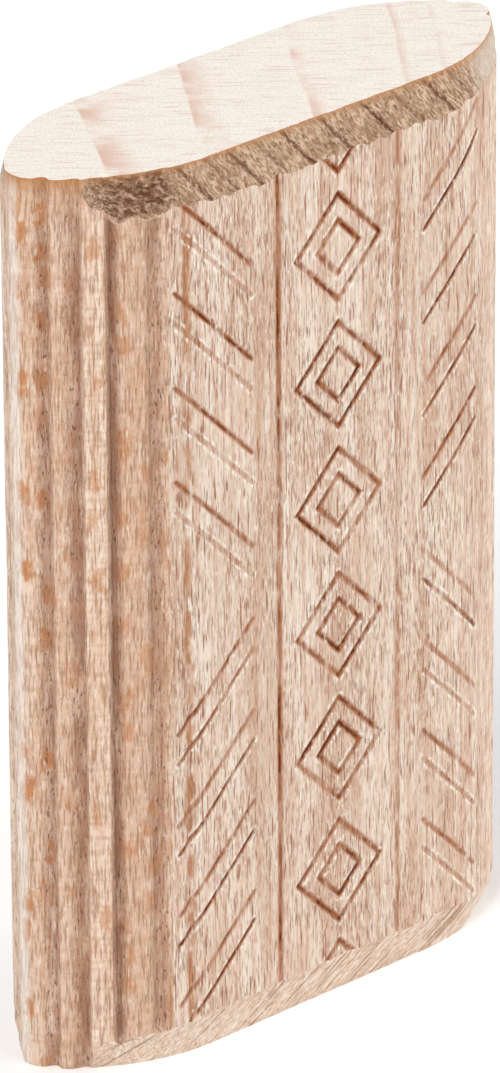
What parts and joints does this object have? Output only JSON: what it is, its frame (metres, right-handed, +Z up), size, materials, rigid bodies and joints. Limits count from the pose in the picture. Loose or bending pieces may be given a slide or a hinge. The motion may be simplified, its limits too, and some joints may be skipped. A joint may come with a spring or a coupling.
{
  "type": "loose tenon",
  "caption": "Flat loose tenon in solid beech, with reeded round sides, tapered ends and pressed glue lines on both flats, which joins two boards through matching mortises.",
  "frame": {"origin": "middle of the lower end face, on the surface that the tenon stands on", "axes": "+Z up along the length and the grain, X across the width, Y through the thickness, with the face in the picture towards -Y"},
  "size_m": [0.0234, 0.008, 0.036],
  "materials": {
    "beech": "raw, sawn and pressed, matt"
  },
  "bodies": {
    "root": {"tenon": "beech"}
  },
  "joints": []
}
